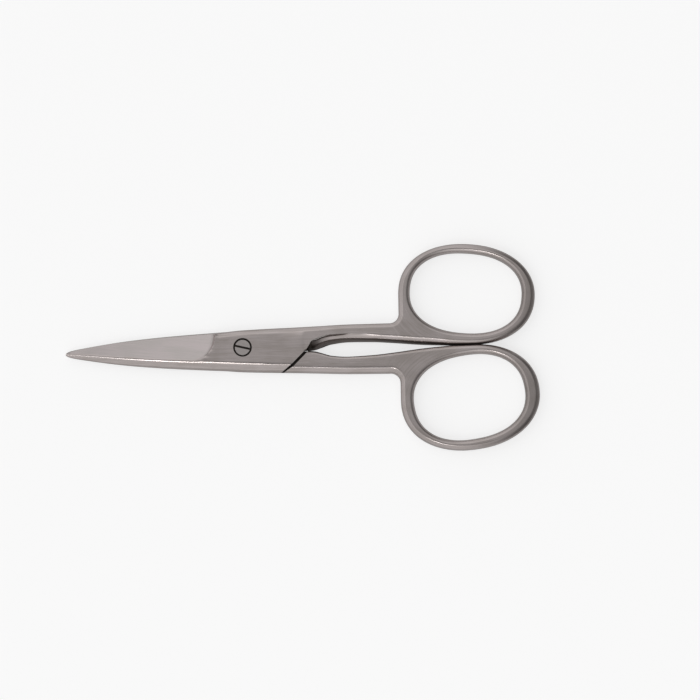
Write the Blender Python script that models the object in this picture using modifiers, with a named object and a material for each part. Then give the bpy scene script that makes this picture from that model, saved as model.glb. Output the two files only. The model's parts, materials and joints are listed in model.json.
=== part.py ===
"""Nail scissors, 90 mm long, closed and lying flat.

Two forged steel halves cross at a slotted screw. Each half is a blade, a flat pivot part, a shank
and a finger ring in one piece. At the blades the front half lies above the seam plane and the rear
half below it, while both shanks and rings have the full thickness.

Each half is made the way it is made at the bench: a forged blank with a bevelled rim, which is
then stepped, ground, hollowed and drilled. Its own frame has u from the tip to the rings, v from
the middle line towards the half's own ring, and z up to the half's own outer face. The rear half
is the same forging turned over about the long axis.
"""
import math

import bmesh
import bpy
from mathutils import Vector

MM = 0.001

# Overall stack
thickness = 3.0 * MM
seam_clearance = 0.06 * MM

# Blade and pivot part, with places measured from the tip
blade_length = 33.7 * MM
body_half_width = 4.76 * MM
crotch_station = 61.2 * MM
tip_thickness = 0.55 * MM
edge_setback = 0.22 * MM
edge_thickness = 0.16 * MM
edge_rim = 0.05 * MM
spine_bevel = 1.50 * MM
ricasso_bevel = 0.80 * MM
ricasso_run = 1.6 * MM

# Grinding of the blade's outer face, which runs out in a plunge before the pivot
plunge_before_pivot = 6.0 * MM
plunge_length = 0.90 * MM
plunge_corner_length = 4.2 * MM
plunge_corner_width = 5.5 * MM
crease_bite = 0.02 * MM

# Hollow of the blade's inner face, which leaves a land at edge and spine and the ride at the screw
hollow_depth = 0.12 * MM
hollow_land = 0.40 * MM
ride_radius = 4.6 * MM
hollow_runout = 3.0 * MM

# Shoulder where a half steps from half to full thickness, with places measured from the pivot
shoulder_outer = 7.7 * MM
shoulder_inner = 11.8 * MM
shoulder_gap = 0.55 * MM
slit_half_gap = 0.20 * MM
waste_length = 0.75 * MM

# Shank
seam_lean = math.radians(1.17)
seam_crossing = 21.8 * MM
lens_half_gap = 1.42 * MM
shank_bevel_top = 0.62 * MM
shank_bevel_bottom = 1.02 * MM
inner_bevel_top = 1.42 * MM
inner_bevel_bottom = 0.45 * MM
crotch_scoop = 0.45 * MM
web_fillet = 1.8 * MM

# Finger rings: reach is from the pivot to the ring's far end, a band is the steel left round the hole
# at its ends and sides, and the hole may lie off centre
ring_gap = 0.10 * MM
ring_bevel = 0.75 * MM
hole_bevel = 0.80 * MM
front_ring = {"reach": 55.75 * MM, "half_length": 13.0 * MM, "half_width": 9.56 * MM,
              "end_band": 2.35 * MM, "side_band": 1.92 * MM,
              "hole_pull": 0.14 * MM, "hole_lift": 0.18 * MM,
              "tilt": math.radians(-4.9), "hole_tilt": math.radians(-5.5)}
rear_ring = {"reach": 56.3 * MM, "half_length": 13.23 * MM, "half_width": 9.95 * MM,
             "end_band": 2.63 * MM, "side_band": 1.93 * MM,
             "hole_pull": 0.15 * MM, "hole_lift": -0.06 * MM,
             "tilt": math.radians(-7.5), "hole_tilt": math.radians(-9.3)}

# Pivot screw
pivot_offset = 0.63 * MM
screw_radius = 1.0 * MM
head_radius = 1.48 * MM
head_height = 0.75 * MM
screw_edge = 0.06 * MM
screw_end_inset = 0.10 * MM
slot_width = 0.40 * MM
slot_depth = 0.35 * MM
slot_turn = math.radians(-13.5)
head_gap = 0.24 * MM
head_under_gap = 0.05 * MM
running_gap = 0.05 * MM
thread_gap = 0.05 * MM

# One overrun for every cut
overrun = 2.0 * MM

# Fineness of the curves
side_steps = 44
lens_steps = 30
ring_steps = 96
fillet_steps = 6
rim_steps = 3
screw_steps = 48
plunge_steps = 14
blade_steps = 18
hollow_steps = 20
face_columns = 8

# Powers of the superellipses: 2 is an ellipse, and more is squarer
ring_power = 2.15
hole_power = 2.3

# Half width of the body, as shares of body_half_width, against the square root of the share of
# the way from the tip to the crotch: the root rounds the tip
side_shares = ((0.0, 0.0), (0.11, 0.12), (0.26, 0.29), (0.425, 0.50), (0.56, 0.652), (0.66, 0.75),
               (0.7575, 0.847), (0.88, 0.935), (0.94, 0.985), (1.0, 1.0))
# Bow of the shank's inner side, as shares of lens_half_gap, against the share of the way from
# the shoulder to the place where the rings meet
lens_shares = ((0.0, 0.0), (0.055, 0.05), (0.10, 0.30), (0.158, 0.74), (0.252, 1.0), (0.40, 0.90),
               (0.533, 0.64), (0.678, 0.29), (0.785, 0.12), (0.88, 0.03), (1.0, 0.0))
# Extra width of the inner bevel behind the shoulder, as shares of crotch_scoop, over the same way
scoop_shares = ((0.0, 0.2), (0.06, 0.75), (0.11, 1.0), (0.175, 0.55), (0.25, 0.15), (0.34, 0.0),
                (1.0, 0.0))
inner_run_share = 0.70
spine_bevel_share = 0.95
# Depth of a bevel as a share of its width, for a chamfer and for a quarter oval, and the share of
# the thickness that two opposite bevels may take
chamfer_depth_share = 0.70
round_depth_share = 1.4
bevels_limit_share = 0.90
ring_limit_share = 0.47
ring_round_share = 0.20
plunge_overshare = 0.08
ground_overshare = 0.20

# Worked out from the sizes above
pivot = blade_length
overall_length = pivot + rear_ring["reach"]
blade_face = thickness / 2 + seam_clearance / 2
blade_thickness = thickness - blade_face
seam_start = pivot + shoulder_inner
plunge_start = pivot - plunge_before_pivot
plunge_height = blade_thickness * (1 + plunge_overshare)
waste_end = seam_start + waste_length
weld_distance = seam_clearance / 50


def curve_through(points):
    """A smooth function through points, level at a peak and never past its neighbours."""
    xs = [p[0] for p in points]
    ys = [p[1] for p in points]
    rises = [(ys[i + 1] - ys[i]) / (xs[i + 1] - xs[i]) for i in range(len(xs) - 1)]
    slopes = [rises[0]]
    for before, after in zip(rises, rises[1:]):
        slopes.append(2 * before * after / (before + after) if before * after > 0 else 0.0)
    slopes.append(rises[-1])

    def value(x):
        x = min(max(x, xs[0]), xs[-1])
        i = max(k for k in range(len(rises)) if xs[k] <= x)
        step = xs[i + 1] - xs[i]
        t = (x - xs[i]) / step
        bend = slopes[i] * (1 - t) - slopes[i + 1] * t
        straight = ys[i] + (ys[i + 1] - ys[i]) * t * t * (3 - 2 * t)
        return straight + step * t * (1 - t) * bend

    return value


side_curve = curve_through(side_shares)
lens_curve = curve_through(lens_shares)
scoop_curve = curve_through(scoop_shares)


def ease(share):
    """Runs smoothly from 0 to 1 with share, and is level outside."""
    share = min(max(share, 0.0), 1.0)
    return share * share * (3 - 2 * share)


def mix(start, end, share):
    return start + (end - start) * share


def half_width(u):
    """Half width of the body, from the tip to the crotch."""
    return body_half_width * side_curve(math.sqrt(min(max(u / crotch_station, 0.0), 1.0)))


def edge_line(u):
    """The cutting edge lies a little inside the other half's spine."""
    width = half_width(u)
    setback = edge_setback * (1 - ease((u - plunge_start) / plunge_before_pivot))
    return width - setback * width / (width + edge_setback)


def blade_height(u):
    """Thickness of the blade at its crease, which thins towards the tip."""
    share = min(u / plunge_start, 1.0)
    return mix(tip_thickness, blade_thickness, share * (2 - share))


def spine_width(u):
    """Width of the bevel along the spine, narrower at the tip."""
    return spine_bevel * math.tanh(spine_bevel_share * half_width(u) / spine_bevel)


def seam(u, side):
    """Line on which shanks and rings meet: it leans a little from the middle line."""
    return side * math.tan(seam_lean) * (u - pivot - seam_crossing)


def oval(centre, half_length, half_breadth, tilt, power):
    """Points counter-clockwise round a tilted superellipse."""
    points = []
    for i in range(ring_steps):
        angle = math.tau * i / ring_steps
        c, s = math.cos(angle), math.sin(angle)
        x = half_length * math.copysign(abs(c) ** (2 / power), c)
        y = half_breadth * math.copysign(abs(s) ** (2 / power), s)
        ct, st = math.cos(tilt), math.sin(tilt)
        points.append((centre[0] + x * ct - y * st, centre[1] + x * st + y * ct))
    return points


class Plan:
    """Outline of one half in its own frame: side is 1 for the front half and -1 for the rear."""

    def __init__(self, side, ring):
        self.side = side
        around = oval((0.0, 0.0), ring["half_length"], ring["half_width"], ring["tilt"], ring_power)
        low = min(range(ring_steps), key=lambda i: around[i][1])
        back = min(range(ring_steps), key=lambda i: around[i][0])
        centre_u = pivot + ring["reach"] - max(p[0] for p in around)
        self.meet = centre_u + around[low][0]
        centre_v = seam(self.meet, side) + ring_gap / 2 - around[low][1]
        steps = (back - low) % ring_steps
        self.ring_arc = [(centre_u + around[(low + i) % ring_steps][0],
                          centre_v + around[(low + i) % ring_steps][1]) for i in range(steps + 1)]
        self.top = max(p[1] for p in self.ring_arc)
        hole_centre = (centre_u - ring["hole_pull"], centre_v + ring["hole_lift"])
        self.hole = oval(hole_centre, ring["half_length"] - ring["end_band"],
                         ring["half_width"] - ring["side_band"], ring["hole_tilt"], hole_power)
        wall = min(ring["end_band"] - abs(ring["hole_pull"]), ring["side_band"] - abs(ring["hole_lift"]))
        self.ring_bevel = min(ring_bevel, wall * ring_limit_share)
        self.hole_bevel = min(hole_bevel, wall * ring_limit_share)

    def inner_share(self, u):
        return (u - seam_start) / (self.meet - seam_start)

    def inner(self, u):
        """Inner side of the shank, which bows away from the seam."""
        return seam(u, self.side) + ring_gap / 2 + lens_half_gap * lens_curve(self.inner_share(u))

    def spine_rows(self):
        """From the tip along the spine, on past the shoulder into the waste."""
        rows = []
        waste_middle = (pivot + shoulder_outer + waste_end) / 2
        for i in range(side_steps):
            u = waste_end * (i / (side_steps - 1)) ** 2
            fade = 1 - ease((u - waste_middle) / (waste_end - waste_middle))
            rows.append((u, -half_width(u), max(spine_width(u) * fade, edge_rim), edge_rim, 0.0))
        return rows

    def inner_rows(self):
        """Along the inner side of the shank, from the waste to the place where the rings meet."""
        rows = []
        for i in range(lens_steps):
            u = mix(waste_end, self.meet, i / lens_steps)
            share = self.inner_share(u)
            start = ease((u - waste_end) / inner_bevel_top)
            to_ring = ease((share - inner_run_share) / (1 - inner_run_share))
            scoop = crotch_scoop * scoop_curve(share)
            top = mix(edge_rim, mix(inner_bevel_top, self.ring_bevel, to_ring) + scoop, start)
            bottom = mix(edge_rim, mix(inner_bevel_bottom, self.ring_bevel, ease(share)), start)
            rows.append((u, self.inner(u), top, bottom, start))
        return rows

    def crotch_rows(self):
        """Round the fillet from the ring's back down to the shank's outer side."""
        rows = []
        back = self.ring_arc[-1][0]
        centre = (back - web_fillet, half_width(back) + web_fillet)
        for i in range(fillet_steps + 1):
            share = i / fillet_steps
            angle = -math.pi / 2 * share
            u = centre[0] + web_fillet * math.cos(angle)
            v = centre[1] + web_fillet * math.sin(angle)
            top = mix(self.ring_bevel, shank_bevel_top, share)
            rows.append((u, v, top, mix(self.ring_bevel, shank_bevel_bottom, share), 0.0))
        return rows

    def outer_rows(self, start):
        """Along the shank's outer side, the pivot part and the cutting edge, back to the tip."""
        rows = []
        for i in range(1, side_steps):
            u = start * (1 - i / side_steps) ** 2
            ricasso = ease((u - plunge_start) / ricasso_run)
            shank = ease((u - pivot - shoulder_outer) / shoulder_inner)
            top = mix(edge_rim, mix(ricasso_bevel, shank_bevel_top, shank), ricasso)
            bottom = mix(edge_rim, shank_bevel_bottom, ease((u - pivot) / shoulder_outer))
            rows.append((u, edge_line(u), top, bottom, 0.0))
        return rows

    def ring_rows(self):
        """Round the ring from where it meets the other, with its bevels round there at first."""
        rows = []
        for i, (u, v) in enumerate(self.ring_arc):
            roundness = 1 - ease(i / (len(self.ring_arc) * ring_round_share))
            rows.append((u, v, self.ring_bevel, self.ring_bevel, roundness))
        return rows

    def rim(self):
        """The whole rim, counter-clockwise: u, v, the widths of its top and bottom bevels, and how
        round these are, from a chamfer (0) to a quarter oval (1)."""
        crotch = self.crotch_rows()
        return (self.spine_rows() + self.inner_rows() + self.ring_rows() + crotch
                + self.outer_rows(crotch[-1][0]))


def bevel_point(share, width, depth, roundness):
    """Inset and drop at a share of the way from a bevel's wall to its face."""
    angle = math.pi / 2 * share
    inset = width * mix(share, 1 - math.cos(angle), roundness)
    return inset, depth * mix(1 - share, 1 - math.sin(angle), roundness)


def rim_section(row, height):
    """Inset and height round the rim, from the bottom face, up the wall, to the top face."""
    top_width, bottom_width, roundness = row[2:]
    share = mix(chamfer_depth_share, round_depth_share, roundness)
    share = min(share, height * bevels_limit_share / (top_width + bottom_width))
    steps = [k / rim_steps for k in range(rim_steps + 1)]
    below = [bevel_point(step, bottom_width, bottom_width * share, roundness) for step in reversed(steps)]
    above = [bevel_point(step, top_width, top_width * share, roundness) for step in steps]
    return below + [(inset, height - drop) for inset, drop in above]


def loft_rim(bm, rows, top_height, flip):
    """Loft the rim's section round a loop, and return the edge loops of its two faces."""
    count = len(rows)
    places = [Vector((row[0], row[1])) for row in rows]
    inward = []
    for i in range(count):
        before = (places[i] - places[i - 1]).normalized()
        after = (places[(i + 1) % count] - places[i]).normalized()
        along = (before + after).normalized()
        inward.append(Vector((-along.y, along.x)) * (-1 if flip else 1))
    sections = [rim_section(row, top_height(row[0])) for row in rows]
    loops = []
    for level in zip(*sections):
        points = [(*(places[i] + inward[i] * inset), z) for i, (inset, z) in enumerate(level)]
        loops.append([bm.verts.new(point) for point in points])
    for lower, upper in zip(loops, loops[1:]):
        for i in range(count):
            j = (i + 1) % count
            bm.faces.new((lower[i], lower[j], upper[j], upper[i]))
    return [[bm.edges.get((loop[i], loop[(i + 1) % count])) for i in range(count)]
            for loop in (loops[0], loops[-1])]


def blank_top(u):
    """Height of the blank's outer face: it follows the blade's taper and is level past it."""
    return blade_face + blade_height(u) if u < plunge_start else thickness


def make_blank(name, plan, collection):
    """The forged blank: a lofted rim outside and in the ring, filled with two flat faces."""
    bm = bmesh.new()
    outside = loft_rim(bm, plan.rim(), blank_top, False)
    hole = [(u, v, plan.hole_bevel, plan.hole_bevel, 1.0) for u, v in plan.hole]
    inside = loft_rim(bm, hole, blank_top, True)
    for outer_loop, inner_loop in zip(outside, inside):
        bmesh.ops.triangle_fill(bm, use_beauty=True, edges=outer_loop + inner_loop)
    bmesh.ops.recalc_face_normals(bm, faces=bm.faces)
    return to_object(name, bm, collection)


def to_object(name, bm, collection):
    mesh = bpy.data.meshes.new(name)
    bm.to_mesh(mesh)
    bm.free()
    obj = bpy.data.objects.new(name, mesh)
    collection.objects.link(obj)
    return obj


def as_cutter(obj):
    obj.hide_render = True
    obj.display_type = "WIRE"
    return obj


def make_prism(name, points, low, high, collection):
    """A flat outline as a 2D curve, extruded between two heights and made a mesh."""
    curve = bpy.data.curves.new(name, "CURVE")
    curve.dimensions = "2D"
    curve.fill_mode = "BOTH"
    curve.extrude = (high - low) / 2
    spline = curve.splines.new("POLY")
    spline.points.add(len(points) - 1)
    for point, (u, v) in zip(spline.points, points):
        point.co = (u, v, 0.0, 1.0)
    spline.use_cyclic_u = True
    holder = bpy.data.objects.new(name, curve)
    collection.objects.link(holder)
    holder.location.z = (high + low) / 2
    bpy.context.view_layer.update()
    mesh = bpy.data.meshes.new_from_object(holder.evaluated_get(bpy.context.evaluated_depsgraph_get()))
    bm = bmesh.new()
    bm.from_mesh(mesh)
    bmesh.ops.remove_doubles(bm, verts=bm.verts, dist=weld_distance)
    bmesh.ops.recalc_face_normals(bm, faces=bm.faces)
    bm.transform(holder.matrix_world)
    bpy.data.objects.remove(holder)
    return as_cutter(to_object(name, bm, collection))


def make_field(name, rows, cap, collection):
    """A cutter with one curved face, given as rows of points, and a flat back at the cap's height."""
    bm = bmesh.new()
    bmesh.ops.create_grid(bm, x_segments=len(rows) - 1, y_segments=len(rows[0]) - 1, size=1.0)
    bm.verts.ensure_lookup_table()
    for index, vert in enumerate(bm.verts):
        vert.co = rows[index % len(rows)][index // len(rows)]
    raised = bmesh.ops.extrude_face_region(bm, geom=bm.faces[:])
    for item in raised["geom"]:
        if isinstance(item, bmesh.types.BMVert):
            item.co.z = cap
    bmesh.ops.recalc_face_normals(bm, faces=bm.faces)
    return as_cutter(to_object(name, bm, collection))


def make_cylinder(name, place, radius, low, high, collection):
    bm = bmesh.new()
    bmesh.ops.create_cone(bm, cap_ends=True, segments=screw_steps, radius1=radius, radius2=radius,
                          depth=high - low)
    bmesh.ops.translate(bm, verts=bm.verts, vec=(place[0], place[1], (low + high) / 2))
    return as_cutter(to_object(name, bm, collection))


def cut(obj, cutter):
    """Cut with an exact Boolean; the cutter lies in the same frame as the piece."""
    cutter.parent = obj.parent
    cutter.location = obj.location
    modifier = obj.modifiers.new(cutter.name, "BOOLEAN")
    modifier.operation = "DIFFERENCE"
    modifier.solver = "EXACT"
    modifier.object = cutter


def shoulder_prism(name, plan, cutters):
    """Frees this half's pivot part from the other half's shank, over the full height."""
    outer = Vector((pivot + shoulder_outer, -half_width(pivot + shoulder_outer)))
    inner = Vector((seam_start, seam(seam_start, plan.side) + slit_half_gap))
    low_end = outer + (outer - inner).normalized() * overrun
    slit_end = waste_end + overrun
    floor = -body_half_width - overrun
    points = [low_end, (low_end.x, floor), (slit_end, floor),
              (slit_end, seam(slit_end, plan.side) + slit_half_gap), inner]
    return make_prism(name, [tuple(p) for p in points], -overrun, thickness + overrun, cutters)


def lap_prism(name, plan, cutters):
    """Takes away the half thickness where the other half's pivot part and blade lie."""
    outer = Vector((pivot + shoulder_outer, half_width(pivot + shoulder_outer)))
    inner = Vector((seam_start, seam(seam_start, plan.side) - slit_half_gap))
    along = (inner - outer).normalized()
    across = Vector((-along.y, along.x)) * shoulder_gap
    top = outer + across - along * overrun
    bottom = inner + across + along * overrun
    side = body_half_width + overrun
    points = [(-overrun, -side), (bottom.x, -side), tuple(bottom)]
    points += [tuple(top), (top.x, side), (-overrun, side)]
    return make_prism(name, points, -overrun, blade_face, cutters)


def ground_face(u):
    """Where the ground face starts at the crease, v and z, and where it ends at the edge."""
    u = max(u, edge_setback)
    crease = (spine_width(u) - half_width(u), blade_face + blade_height(u) - crease_bite)
    return crease, (edge_line(u), blade_face + edge_thickness)


def grind_point(station, share):
    """A point of the wheel's path: straight from crease (share 0) to edge (share 1) at each station,
    and past plunge_start a quarter oval. Near the crease the stations bend back round a corner."""
    crease, edge = ground_face(station)
    near = min(max(1 - share * (edge[0] - crease[0]) / plunge_corner_width, 0.0), 1.0)
    corner = plunge_corner_length * (1 - math.sqrt(1 - near * near))
    u = station - corner * ease(station / plunge_start)
    crease, edge = ground_face(u)
    run_share = min(max((station - plunge_start) / plunge_length, 0.0), 1.0)
    rise = plunge_height * (1 - math.sqrt(1 - run_share * run_share))
    height = mix(crease[1], edge[1], share) + rise
    return u, mix(crease[0], edge[0], share), min(height, thickness + overrun / 2)


def grind_cutter(name, cutters):
    """The wheel's cut on the outer face of the blade, from past the spine to past the edge."""
    stations = [mix(-edge_setback, plunge_start, i / blade_steps) for i in range(blade_steps)]
    stations += [plunge_start + plunge_length * i / plunge_steps for i in range(plunge_steps + 1)]
    shares = [-ground_overshare] + [(i / face_columns) ** 2 for i in range(face_columns + 1)]
    shares.append(1 + ground_overshare)
    rows = [[grind_point(station, share) for share in shares] for station in stations]
    return make_field(name, rows, thickness + overrun, cutters)


def hollow_cutter(name, cutters):
    """The shallow hollow of the inner face, which leaves the ride and two lands standing."""
    start = hollow_land
    while min(half_width(start), edge_line(start)) < hollow_land * 2:
        start += hollow_land
    end = pivot - ride_radius
    rows = []
    for i in range(hollow_steps + 1):
        u = mix(start, end, i / hollow_steps)
        middle = (edge_line(u) - half_width(u)) / 2
        reach = (edge_line(u) + half_width(u)) / 2
        run = max(u - end + hollow_runout, 0.0) / hollow_runout
        row = []
        for j in range(face_columns + 1):
            v = middle + reach * (2 * j / face_columns - 1)
            across = (v - middle) / (reach - hollow_land)
            row.append((u, v, blade_face + hollow_depth * (1 - across * across - run * run)))
        rows.append(row)
    return make_field(name, rows, -overrun, cutters)


def steel(name, colour, roughness):
    material = bpy.data.materials.new(name)
    material.use_nodes = True
    shader = material.node_tree.nodes["Principled BSDF"]
    shader.inputs["Base Color"].default_value = (*colour, 1.0)
    shader.inputs["Metallic"].default_value = 1.0
    shader.inputs["Roughness"].default_value = roughness
    return material


def make_half(name, plan, place, bores, material, parts, cutters):
    """One half, forged, stepped, ground, hollowed and drilled, under an empty on the pivot's axis."""
    axis = bpy.data.objects.new(name + "_axis", None)
    parts.objects.link(axis)
    axis.location = place
    if plan.side < 0:
        axis.location.z += thickness
        axis.rotation_euler.x = math.pi
    half = make_blank(name, plan, parts)
    half.parent = axis
    half.location = (-pivot, -plan.side * pivot_offset, 0.0)
    cut(half, shoulder_prism(name + "_shoulder_cut", plan, cutters))
    cut(half, lap_prism(name + "_lap_cut", plan, cutters))
    cut(half, grind_cutter(name + "_grind", cutters))
    cut(half, hollow_cutter(name + "_hollow", cutters))
    for index, (radius, low) in enumerate(bores):
        place = (pivot, plan.side * pivot_offset)
        cut(half, make_cylinder(f"{name}_bore_{index}", place, radius, low, thickness + overrun, cutters))
    half.data.materials.append(material)
    return half


def make_screw(name, place, material, parts, cutters):
    """The pivot screw: a flush flat head with a slot, turned as one profile."""
    head_low = thickness - head_height
    profile = [(0.0, thickness), (head_radius - screw_edge, thickness)]
    profile += [(head_radius, thickness - screw_edge), (head_radius, head_low), (screw_radius, head_low)]
    profile += [(screw_radius, screw_end_inset + screw_edge), (screw_radius - screw_edge, screw_end_inset)]
    profile.append((0.0, screw_end_inset))
    mesh = bpy.data.meshes.new(name)
    mesh.from_pydata([(r, 0.0, z) for r, z in profile], [(i, i + 1) for i in range(len(profile) - 1)], [])
    screw = bpy.data.objects.new(name, mesh)
    parts.objects.link(screw)
    screw.location = place
    turn = screw.modifiers.new("turned", "SCREW")
    turn.steps = screw_steps
    turn.render_steps = screw_steps
    turn.use_merge_vertices = True
    turn.merge_threshold = weld_distance
    bm = bmesh.new()
    bmesh.ops.create_cube(bm, size=1.0)
    bmesh.ops.scale(bm, verts=bm.verts, vec=(head_radius * 2 + overrun, slot_width, slot_depth + overrun))
    bmesh.ops.translate(bm, verts=bm.verts, vec=(0.0, 0.0, thickness + (overrun - slot_depth) / 2))
    slot = as_cutter(to_object(name + "_slot", bm, cutters))
    cut(screw, slot)
    slot.rotation_euler.z = slot_turn
    mesh.materials.append(material)
    return screw


def main():
    for obj in list(bpy.data.objects):
        bpy.data.objects.remove(obj, do_unlink=True)
    parts = bpy.data.collections.new("nail_scissors")
    cutters = bpy.data.collections.new("cutters")
    bpy.context.scene.collection.children.link(parts)
    bpy.context.scene.collection.children.link(cutters)

    front_plan = Plan(1, front_ring)
    rear_plan = Plan(-1, rear_ring)
    middle = (front_plan.top - rear_plan.top) / 2
    place = Vector((pivot - overall_length / 2, pivot_offset - middle, 0.0))

    satin = steel("satin_steel", (0.50, 0.48, 0.47), 0.35)
    plain = steel("screw_steel", (0.52, 0.50, 0.49), 0.30)
    screw_bore = screw_radius + running_gap
    counterbore = (head_radius + head_gap, thickness - head_height - head_under_gap)
    make_half("front_half", front_plan, place, [(screw_bore, -overrun), counterbore], satin, parts, cutters)
    make_half("rear_half", rear_plan, place, [(screw_radius + thread_gap, -overrun)], satin, parts, cutters)
    make_screw("pivot_screw", place, plain, parts, cutters)


main()
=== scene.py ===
"""Nail scissors in satin stainless steel, closed and lying flat on a white table.

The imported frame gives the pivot, the bodies and the box. The two halves and the screw are made again
here at a finer grain, in the same place and, but for a few closer fits, to the same sizes, so that
creases, plunges and edges are rounded geometry that catches the light.
"""
import json
import math

import bmesh
import bpy
from mathutils import Matrix, Vector


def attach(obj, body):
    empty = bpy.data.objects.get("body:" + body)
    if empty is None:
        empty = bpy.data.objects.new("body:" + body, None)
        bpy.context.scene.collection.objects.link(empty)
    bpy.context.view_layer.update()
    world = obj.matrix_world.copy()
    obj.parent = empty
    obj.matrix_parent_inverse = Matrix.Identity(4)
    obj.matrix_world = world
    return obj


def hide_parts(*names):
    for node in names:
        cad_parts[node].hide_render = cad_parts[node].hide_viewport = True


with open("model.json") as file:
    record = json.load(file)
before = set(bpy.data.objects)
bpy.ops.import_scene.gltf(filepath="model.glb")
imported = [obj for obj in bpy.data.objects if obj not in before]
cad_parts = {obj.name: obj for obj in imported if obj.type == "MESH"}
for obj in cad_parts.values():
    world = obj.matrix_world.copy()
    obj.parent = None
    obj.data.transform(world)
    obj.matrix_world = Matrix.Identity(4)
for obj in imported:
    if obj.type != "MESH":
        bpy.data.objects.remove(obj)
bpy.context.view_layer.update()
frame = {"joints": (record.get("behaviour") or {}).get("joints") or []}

MM = 0.001

# Overall stack. These sizes are the frame's own, and so are all of those down to the closer fits
thickness = 3.0 * MM
seam_clearance = 0.06 * MM

# Blade and pivot part, with places measured from the tip
blade_length = 33.7 * MM
body_half_width = 4.76 * MM
crotch_station = 61.2 * MM
tip_thickness = 0.55 * MM
edge_setback = 0.22 * MM
edge_thickness = 0.16 * MM
edge_rim = 0.05 * MM
spine_bevel = 1.50 * MM
ricasso_bevel = 0.80 * MM
ricasso_run = 1.6 * MM

# Grinding of the blade's outer face, which runs out in a plunge before the pivot
plunge_before_pivot = 6.0 * MM
plunge_length = 0.90 * MM
plunge_corner_length = 4.2 * MM
plunge_corner_width = 5.5 * MM

# Hollow of the blade's inner face, which leaves a land at edge and spine and the ride at the screw
hollow_depth = 0.12 * MM
hollow_land = 0.40 * MM
ride_radius = 4.6 * MM
hollow_runout = 3.0 * MM

# Shoulder where a half steps from half to full thickness, with places measured from the pivot
shoulder_outer = 7.7 * MM
shoulder_inner = 11.8 * MM
shoulder_gap = 0.55 * MM

# Shank, and the seam along which the two shanks face each other
seam_lean = math.radians(1.17)
seam_crossing = 21.8 * MM
lens_half_gap = 1.42 * MM
shank_bevel_top = 0.62 * MM
shank_bevel_bottom = 1.02 * MM
inner_bevel_top = 1.42 * MM
inner_bevel_bottom = 0.45 * MM
crotch_scoop = 0.45 * MM
web_fillet = 1.8 * MM

# Finger rings: reach is from the pivot to the ring's far end, a band is the steel left round the
# hole at its ends and sides, and the hole may lie off centre
ring_bevel = 0.75 * MM
hole_bevel = 0.80 * MM
front_ring = {"reach": 55.75 * MM, "half_length": 13.0 * MM, "half_width": 9.56 * MM,
              "end_band": 2.35 * MM, "side_band": 1.92 * MM,
              "hole_pull": 0.14 * MM, "hole_lift": 0.18 * MM,
              "tilt": math.radians(-4.9), "hole_tilt": math.radians(-5.5)}
rear_ring = {"reach": 56.3 * MM, "half_length": 13.23 * MM, "half_width": 9.95 * MM,
             "end_band": 2.63 * MM, "side_band": 1.93 * MM,
             "hole_pull": 0.15 * MM, "hole_lift": -0.06 * MM,
             "tilt": math.radians(-7.5), "hole_tilt": math.radians(-9.3)}

# Pivot screw
pivot_offset = 0.63 * MM
screw_radius = 1.0 * MM
head_radius = 1.48 * MM
head_height = 0.75 * MM
screw_edge = 0.06 * MM
screw_end_inset = 0.10 * MM
slot_width = 0.40 * MM
slot_turn = math.radians(-13.5)
head_gap = 0.24 * MM
head_under_gap = 0.05 * MM
running_gap = 0.05 * MM
thread_gap = 0.05 * MM

# One overrun for every cut
overrun = 2.0 * MM

# Closer fits than the frame has, and a deeper slot in the screw: the rings' meeting, the slit's sides,
# the waste beside it, and the shoulder, whose line bends towards the tip at its outer end while its
# gap narrows
ring_gap = 0.04 * MM
slit_half_gap = 0.025 * MM
waste_length = 0.20 * MM
shoulder_gap_low = 0.30 * MM
shoulder_bend = 0.45 * MM
slot_depth = 0.55 * MM

# Rounding that the frame leaves out: how far corners are rounded, on the flat and on the bevel; the
# run in which the inner bevel starts; the slope filed at the crotch and its swell; the top of the
# plunge; the blunt tip; and the broken edges of the bores
crease_round = 0.36 * MM
flat_round = 0.55 * MM
bevel_round = 0.12 * MM
ring_round = 0.15 * MM
crease_fade = 6.0 * MM
round_depth_limit = 2.1 * MM
crotch_run = 1.2 * MM
scoop_depth = 2.5 * MM
scoop_ripple = 0.26 * MM
plunge_blend = 0.05 * MM
tip_width = 0.05 * MM
bore_edge = 0.06 * MM

# How far the soil and painted shade of the shoulder's wall reach onto the lap
soil_and_shade_width = 0.9 * MM

# Wear of the outer face: the pivot part rolls off towards its outer side before the shoulder, and
# the shank lies a little lower behind it
roll_depth = 0.22 * MM
roll_width = 2.1 * MM
roll_run = 5.5 * MM
dip_depth = 0.035 * MM
dip_slope = 0.6 * MM
dip_run = 6.0 * MM

# Fineness, how closely rows and columns crowd to one side, and what counts as an edge
blade_rows = 70
plunge_rows = 18
catch_rows = 12
shank_rows = 130
web_rows = 60
ring_steps = 240
fillet_steps = 18
corner_steps = 5
face_columns = 24
hollow_rows = 60
hollow_columns = 24
screw_steps = 96
crowding = 1.5
half_edge_angle = math.radians(20)
screw_edge_angle = math.radians(30)
flat_weight = 100

# Powers of the superellipses: 2 is an ellipse, and more is squarer
ring_power = 2.15
hole_power = 2.3

# Half width of the body, as shares of body_half_width, against the square root of the share of the
# way from the tip to the crotch: the root rounds the tip
side_shares = ((0.0, 0.0), (0.11, 0.12), (0.26, 0.29), (0.425, 0.50), (0.56, 0.652), (0.66, 0.75),
               (0.7575, 0.847), (0.88, 0.935), (0.94, 0.985), (1.0, 1.0))

# Bow of the shank's inner side, as shares of lens_half_gap, against the share of the way from the
# shoulder to where the rings meet: fuller than the frame's at its start, and slimmer at its end
lens_shares = ((0.0, 0.0), (0.055, 0.10), (0.10, 0.40), (0.158, 0.80), (0.252, 1.0), (0.40, 0.90),
               (0.533, 0.64), (0.678, 0.29), (0.785, 0.115), (0.88, 0.01), (1.0, 0.0))

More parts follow.
